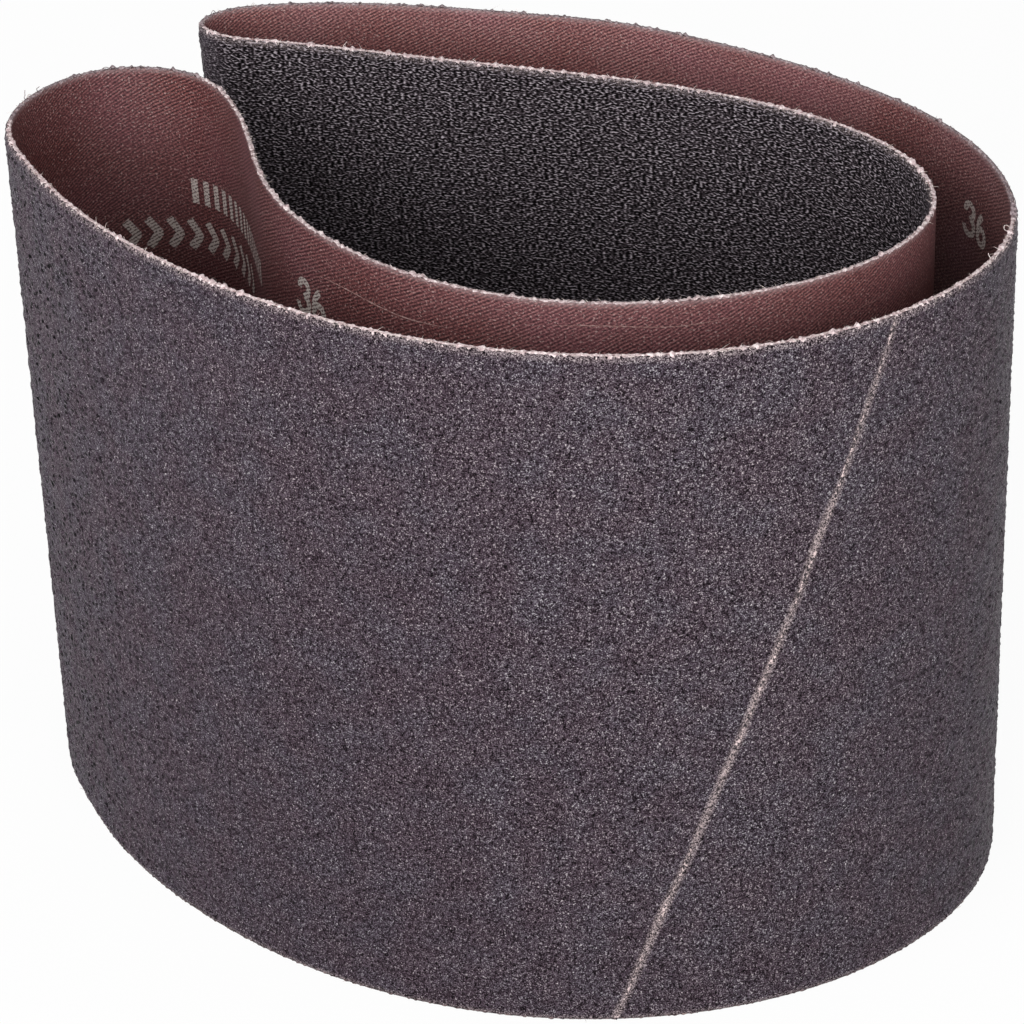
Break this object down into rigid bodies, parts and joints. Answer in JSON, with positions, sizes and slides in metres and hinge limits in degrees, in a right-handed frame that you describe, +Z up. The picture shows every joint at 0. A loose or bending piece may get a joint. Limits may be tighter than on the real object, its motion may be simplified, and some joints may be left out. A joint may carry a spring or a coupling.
{
  "type": "sanding belt",
  "caption": "Endless cloth-backed abrasive belt with a slanted butt splice, folded in on itself and standing on its cut edge.",
  "frame": {"origin": "middle of the belt's bounding box, on the surface that its lower cut edge stands on", "axes": "+Z up across the belt's width; -Y is the bowed front wall that carries the splice; +X is the wide closed bend, and both folded lobes are on the -X side"},
  "size_m": [0.1346, 0.1016, 0.1],
  "materials": {
    "cloth": "resin-filled brown twill cloth, matte, with pale frayed cut edges",
    "grain": "coarse dark abrasive grain set in semi-gloss resin",
    "tape": "thin plain splice tape, satin"
  },
  "bodies": {
    "root": {"cloth_backing": "cloth", "abrasive_coat": "grain", "splice_tape": "tape"}
  },
  "joints": []
}
